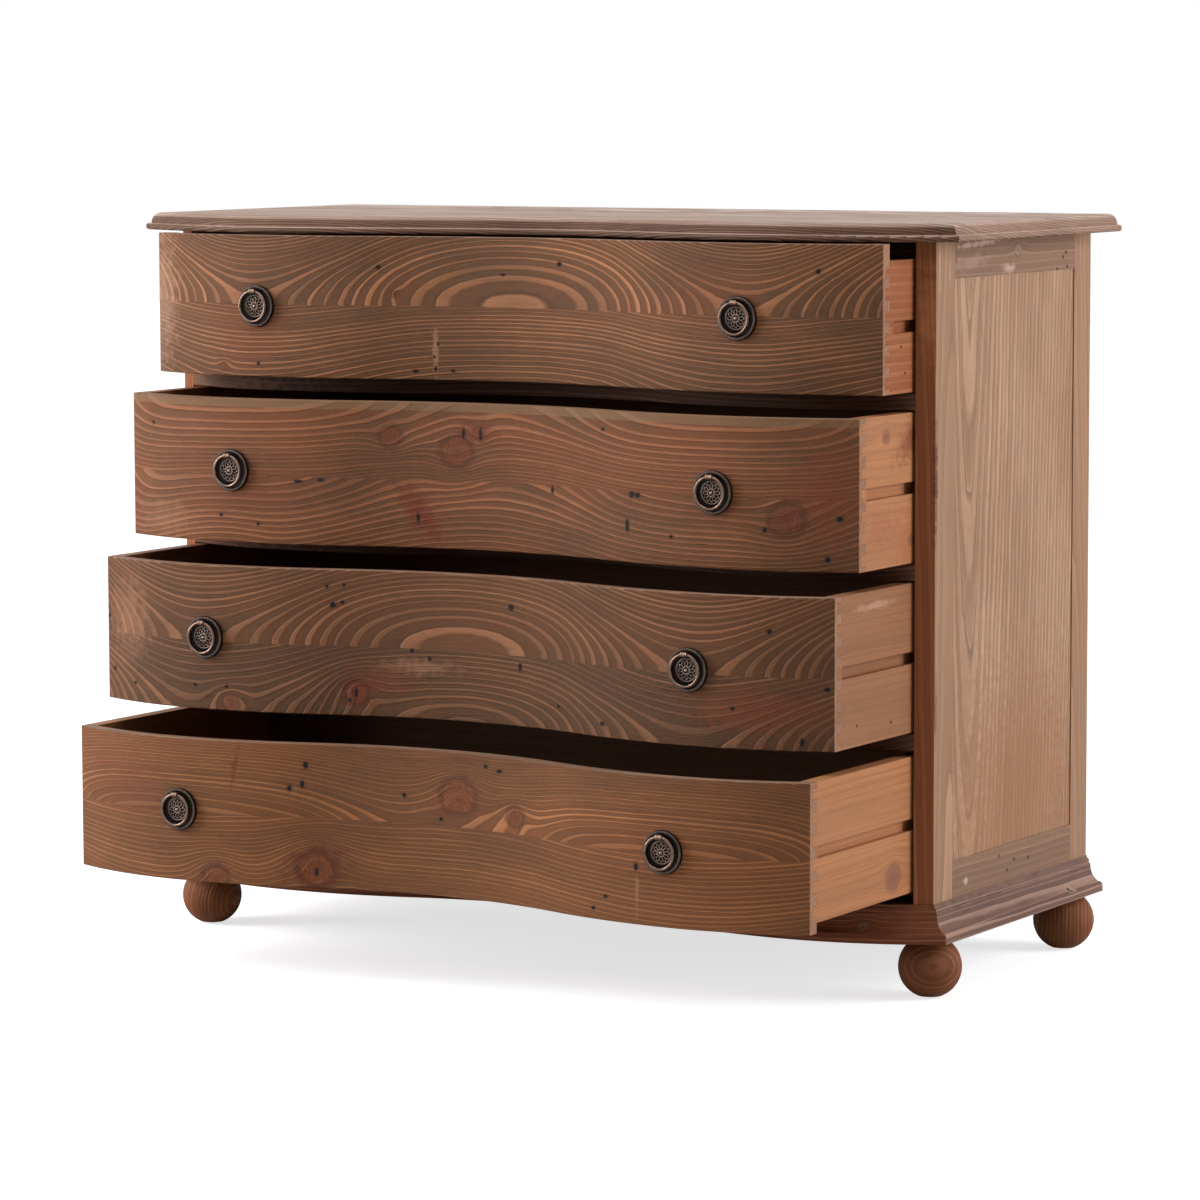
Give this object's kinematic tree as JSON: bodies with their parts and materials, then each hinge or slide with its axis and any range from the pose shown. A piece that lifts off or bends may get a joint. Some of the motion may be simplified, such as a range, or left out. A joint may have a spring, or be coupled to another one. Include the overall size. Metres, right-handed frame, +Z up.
{
  "type": "chest of drawers",
  "caption": "Serpentine-front pine chest of drawers on bun feet, with a moulded top, dovetailed drawers and ring pulls.",
  "frame": {"origin": "on the floor, under the middle of the carcass's footprint", "axes": "+X to the right along the front, +Y towards the back, +Z up"},
  "size_m": [1.13, 0.7325, 0.9],
  "materials": {
    "carcass": "wire-brushed, stained and waxed pine",
    "top": "wire-brushed, stained and waxed pine",
    "plinth": "wire-brushed, stained and waxed pine",
    "feet": "wire-brushed, stained and waxed pine",
    "drawer_fronts": "wire-brushed, stained and waxed pine",
    "drawer_insides": "planed, lightly waxed pine",
    "runners": "planed hardwood, rubbed with wax",
    "bronze": "antique bronze, rubbed through to copper on the high spots",
    "steel": "zinc plated",
    "glide": "dark nail-on glide"
  },
  "bodies": {
    "carcass": {"base_board": "carcass", "plinth_front": "plinth", "plinth_left": "plinth", "plinth_right": "plinth", "bun_feet": "feet", "foot_glides": "glide", "left_front_post": "carcass", "left_rear_post": "carcass", "right_front_post": "carcass", "right_rear_post": "carcass", "left_side_rails": "carcass", "right_side_rails": "carcass", "left_side_panel": "carcass", "right_side_panel": "carcass", "back_panel": "carcass", "back_rails": "carcass", "front_top_rail": "carcass", "divider_1": "carcass", "divider_2": "carcass", "divider_3": "carcass", "front_bottom_rail": "carcass", "top_board": "top", "drawer_runners": "runners", "runner_screws": "steel"},
    "drawer_1": {"drawer_1_front": "drawer_fronts", "drawer_1_left_side": "drawer_insides", "drawer_1_right_side": "drawer_insides", "drawer_1_back": "drawer_insides", "drawer_1_bottom": "drawer_insides", "drawer_1_rosettes": "bronze", "drawer_1_pull_screws": "steel"},
    "drawer_1_left_pull": {"drawer_1_left_ring": "bronze"},
    "drawer_1_right_pull": {"drawer_1_right_ring": "bronze"},
    "drawer_2": {"drawer_2_front": "drawer_fronts", "drawer_2_left_side": "drawer_insides", "drawer_2_right_side": "drawer_insides", "drawer_2_back": "drawer_insides", "drawer_2_bottom": "drawer_insides", "drawer_2_rosettes": "bronze", "drawer_2_pull_screws": "steel"},
    "drawer_2_left_pull": {"drawer_2_left_ring": "bronze"},
    "drawer_2_right_pull": {"drawer_2_right_ring": "bronze"},
    "drawer_3": {"drawer_3_front": "drawer_fronts", "drawer_3_left_side": "drawer_insides", "drawer_3_right_side": "drawer_insides", "drawer_3_back": "drawer_insides", "drawer_3_bottom": "drawer_insides", "drawer_3_rosettes": "bronze", "drawer_3_pull_screws": "steel"},
    "drawer_3_left_pull": {"drawer_3_left_ring": "bronze"},
    "drawer_3_right_pull": {"drawer_3_right_ring": "bronze"},
    "drawer_4": {"drawer_4_front": "drawer_fronts", "drawer_4_left_side": "drawer_insides", "drawer_4_right_side": "drawer_insides", "drawer_4_back": "drawer_insides", "drawer_4_bottom": "drawer_insides", "drawer_4_rosettes": "bronze", "drawer_4_pull_screws": "steel"},
    "drawer_4_left_pull": {"drawer_4_left_ring": "bronze"},
    "drawer_4_right_pull": {"drawer_4_right_ring": "bronze"}
  },
  "joints": [
    {"name": "drawer_1_slide", "type": "slide", "parent": "carcass", "child": "drawer_1", "axis": [0, -1, 0], "range_m": [-0.073, 0.227]},
    {"name": "drawer_1_left_ring_swing", "type": "hinge", "parent": "drawer_1", "child": "drawer_1_left_pull", "pos_m": [-0.332, -0.3386, 0.8103], "axis": [-1, 0, 0], "range_deg": [0, 150]},
    {"name": "drawer_1_right_ring_swing", "type": "hinge", "parent": "drawer_1", "child": "drawer_1_right_pull", "pos_m": [0.332, -0.3386, 0.8103], "axis": [-1, 0, 0], "range_deg": [0, 150]},
    {"name": "drawer_2_slide", "type": "slide", "parent": "carcass", "child": "drawer_2", "axis": [0, -1, 0], "range_m": [-0.13, 0.17]},
    {"name": "drawer_2_left_ring_swing", "type": "hinge", "parent": "drawer_2", "child": "drawer_2_left_pull", "pos_m": [-0.332, -0.3956, 0.61505], "axis": [-1, 0, 0], "range_deg": [0, 150]},
    {"name": "drawer_2_right_ring_swing", "type": "hinge", "parent": "drawer_2", "child": "drawer_2_right_pull", "pos_m": [0.332, -0.3956, 0.61505], "axis": [-1, 0, 0], "range_deg": [0, 150]},
    {"name": "drawer_3_slide", "type": "slide", "parent": "carcass", "child": "drawer_3", "axis": [0, -1, 0], "range_m": [-0.188, 0.112]},
    {"name": "drawer_3_left_ring_swing", "type": "hinge", "parent": "drawer_3", "child": "drawer_3_left_pull", "pos_m": [-0.332, -0.4536, 0.41855], "axis": [-1, 0, 0], "range_deg": [0, 150]},
    {"name": "drawer_3_right_ring_swing", "type": "hinge", "parent": "drawer_3", "child": "drawer_3_right_pull", "pos_m": [0.332, -0.4536, 0.41855], "axis": [-1, 0, 0], "range_deg": [0, 150]},
    {"name": "drawer_4_slide", "type": "slide", "parent": "carcass", "child": "drawer_4", "axis": [0, -1, 0], "range_m": [-0.246, 0.054]},
    {"name": "drawer_4_left_ring_swing", "type": "hinge", "parent": "drawer_4", "child": "drawer_4_left_pull", "pos_m": [-0.332, -0.5116, 0.2183], "axis": [-1, 0, 0], "range_deg": [0, 150]},
    {"name": "drawer_4_right_ring_swing", "type": "hinge", "parent": "drawer_4", "child": "drawer_4_right_pull", "pos_m": [0.332, -0.5116, 0.2183], "axis": [-1, 0, 0], "range_deg": [0, 150]}
  ]
}
